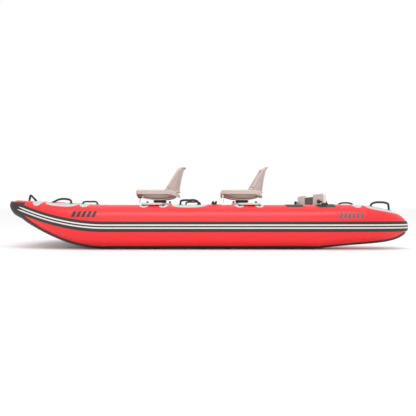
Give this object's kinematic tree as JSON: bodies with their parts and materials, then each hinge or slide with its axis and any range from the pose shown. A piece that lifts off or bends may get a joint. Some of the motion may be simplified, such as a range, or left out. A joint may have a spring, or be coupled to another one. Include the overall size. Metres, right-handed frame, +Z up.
{
  "type": "inflatable dinghy",
  "caption": "Twin-hull inflatable dinghy with an air floor, a foam bow roll, a transom board for a motor, oarlocks, carry handles and fold-down swivel seats on boards across the tubes.",
  "frame": {"origin": "on the ground below the middle of the boat, centred on its overall length and beam", "axes": "+X points aft, +Y to starboard, +Z up; the boat stands on the flat ribs of its two keel guards"},
  "size_m": [3.806, 1.486, 0.8156],
  "materials": {
    "hull_fabric": "coated fabric, satin",
    "roll_fabric": "coated fabric over foam, satin",
    "floor_fabric": "textured coated fabric, matt",
    "black_rubber": "moulded, matt",
    "black_plastic": "moulded, satin",
    "board_panel": "coated marine plywood, satin",
    "seat_plastic": "moulded, satin",
    "grey_webbing": "woven",
    "black_webbing": "woven",
    "bright_steel": "stainless"
  },
  "bodies": {
    "hull": {"starboard_bow_chamber": "hull_fabric", "starboard_main_chamber": "hull_fabric", "starboard_rub_strake": "black_rubber", "starboard_keel_guard": "black_rubber", "starboard_nose_cap": "black_rubber", "starboard_transom_bracket": "black_plastic", "starboard_bow_handle": "black_rubber", "starboard_mid_handle": "black_rubber", "starboard_stern_handle": "black_rubber", "starboard_oarlock_foot": "black_rubber", "port_bow_chamber": "hull_fabric", "port_main_chamber": "hull_fabric", "port_rub_strake": "black_rubber", "port_keel_guard": "black_rubber", "port_nose_cap": "black_rubber", "port_transom_bracket": "black_plastic", "port_bow_handle": "black_rubber", "port_mid_handle": "black_rubber", "port_stern_handle": "black_rubber", "port_oarlock_foot": "black_rubber", "bow_roll": "roll_fabric", "tow_loop": "black_webbing", "floor_panel": "floor_fabric", "transom_board": "board_panel", "motor_pad": "black_plastic", "port_bow_valve_body": "black_plastic", "port_main_valve_body": "black_plastic", "starboard_bow_valve_body": "black_plastic", "starboard_main_valve_body": "black_plastic", "floor_valve_body": "black_plastic", "fore_board": "board_panel", "fore_swivel_base": "black_plastic", "aft_board": "board_panel", "aft_swivel_base": "black_plastic"},
    "fore_seat": {"fore_swivel_plate": "black_plastic", "fore_seat_pan": "seat_plastic", "fore_port_hinge_bolt": "bright_steel", "fore_starboard_hinge_bolt": "bright_steel", "fore_seat_strap": "grey_webbing"},
    "fore_back": {"fore_seat_back": "seat_plastic"},
    "fore_front_knob": {"fore_board_front_knob": "black_plastic"},
    "fore_rear_knob": {"fore_board_rear_knob": "black_plastic"},
    "aft_seat": {"aft_swivel_plate": "black_plastic", "aft_seat_pan": "seat_plastic", "aft_port_hinge_bolt": "bright_steel", "aft_starboard_hinge_bolt": "bright_steel", "aft_seat_strap": "grey_webbing"},
    "aft_back": {"aft_seat_back": "seat_plastic"},
    "aft_front_knob": {"aft_board_front_knob": "black_plastic"},
    "aft_rear_knob": {"aft_board_rear_knob": "black_plastic"},
    "port_screw": {"port_bracket_screw": "black_plastic"},
    "port_rowlock": {"port_oarlock": "black_rubber"},
    "starboard_screw": {"starboard_bracket_screw": "black_plastic"},
    "starboard_rowlock": {"starboard_oarlock": "black_rubber"},
    "port_bow_valve_lid": {"port_bow_valve_cap": "black_plastic"},
    "port_main_valve_lid": {"port_main_valve_cap": "black_plastic"},
    "starboard_bow_valve_lid": {"starboard_bow_valve_cap": "black_plastic"},
    "starboard_main_valve_lid": {"starboard_main_valve_cap": "black_plastic"},
    "floor_valve_lid": {"floor_valve_cap": "black_plastic"}
  },
  "joints": [
    {"name": "fore_seat_turn", "type": "hinge", "parent": "hull", "child": "fore_seat", "pos_m": [-0.5, 0, 0.4469], "axis": [0, 0, 1], "continuous": true},
    {"name": "fore_back_fold", "type": "hinge", "parent": "fore_seat", "child": "fore_back", "pos_m": [-0.415, 0, 0.577], "axis": [0, -1, 0], "range_deg": [0, 117]},
    {"name": "fore_front_knob_turn", "type": "hinge", "parent": "hull", "child": "fore_front_knob", "pos_m": [-0.635, 0, 0.445], "axis": [0, 0, 1], "continuous": true},
    {"name": "fore_rear_knob_turn", "type": "hinge", "parent": "hull", "child": "fore_rear_knob", "pos_m": [-0.395, 0, 0.445], "axis": [0, 0, 1], "continuous": true},
    {"name": "aft_seat_turn", "type": "hinge", "parent": "hull", "child": "aft_seat", "pos_m": [0.373, 0, 0.4469], "axis": [0, 0, 1], "continuous": true},
    {"name": "aft_back_fold", "type": "hinge", "parent": "aft_seat", "child": "aft_back", "pos_m": [0.458, 0, 0.577], "axis": [0, -1, 0], "range_deg": [0, 117]},
    {"name": "aft_front_knob_turn", "type": "hinge", "parent": "hull", "child": "aft_front_knob", "pos_m": [0.283, 0, 0.445], "axis": [0, 0, 1], "continuous": true},
    {"name": "aft_rear_knob_turn", "type": "hinge", "parent": "hull", "child": "aft_rear_knob", "pos_m": [0.523, 0, 0.445], "axis": [0, 0, 1], "continuous": true},
    {"name": "port_screw_turn", "type": "hinge", "parent": "hull", "child": "port_screw", "pos_m": [1.06, -0.558, 0.443], "axis": [-1, 0, 0], "continuous": true},
    {"name": "port_rowlock_turn", "type": "hinge", "parent": "hull", "child": "port_rowlock", "pos_m": [0.075, -0.535, 0.43], "axis": [0, 0, 1], "continuous": true},
    {"name": "starboard_screw_turn", "type": "hinge", "parent": "hull", "child": "starboard_screw", "pos_m": [1.06, 0.558, 0.443], "axis": [-1, 0, 0], "continuous": true},
    {"name": "starboard_rowlock_turn", "type": "hinge", "parent": "hull", "child": "starboard_rowlock", "pos_m": [0.075, 0.535, 0.43], "axis": [0, 0, 1], "continuous": true},
    {"name": "port_bow_valve_cap_flip", "type": "hinge", "parent": "hull", "child": "port_bow_valve_lid", "pos_m": [-1.18, -0.4133, 0.39907], "axis": [1, 0, 0], "range_deg": [0, 110]},
    {"name": "port_main_valve_cap_flip", "type": "hinge", "parent": "hull", "child": "port_main_valve_lid", "pos_m": [0.742, -0.41944, 0.3899], "axis": [1, 0, 0], "range_deg": [0, 110]},
    {"name": "starboard_bow_valve_cap_flip", "type": "hinge", "parent": "hull", "child": "starboard_bow_valve_lid", "pos_m": [-1.18, 0.4133, 0.39907], "axis": [-1, 0, 0], "range_deg": [0, 110]},
    {"name": "starboard_main_valve_cap_flip", "type": "hinge", "parent": "hull", "child": "starboard_main_valve_lid", "pos_m": [0.742, 0.41944, 0.3899], "axis": [-1, 0, 0], "range_deg": [0, 110]},
    {"name": "floor_valve_cap_flip", "type": "hinge", "parent": "hull", "child": "floor_valve_lid", "pos_m": [0.93, -0.1815, 0.2069], "axis": [-1, 0, 0], "range_deg": [0, 110]}
  ]
}
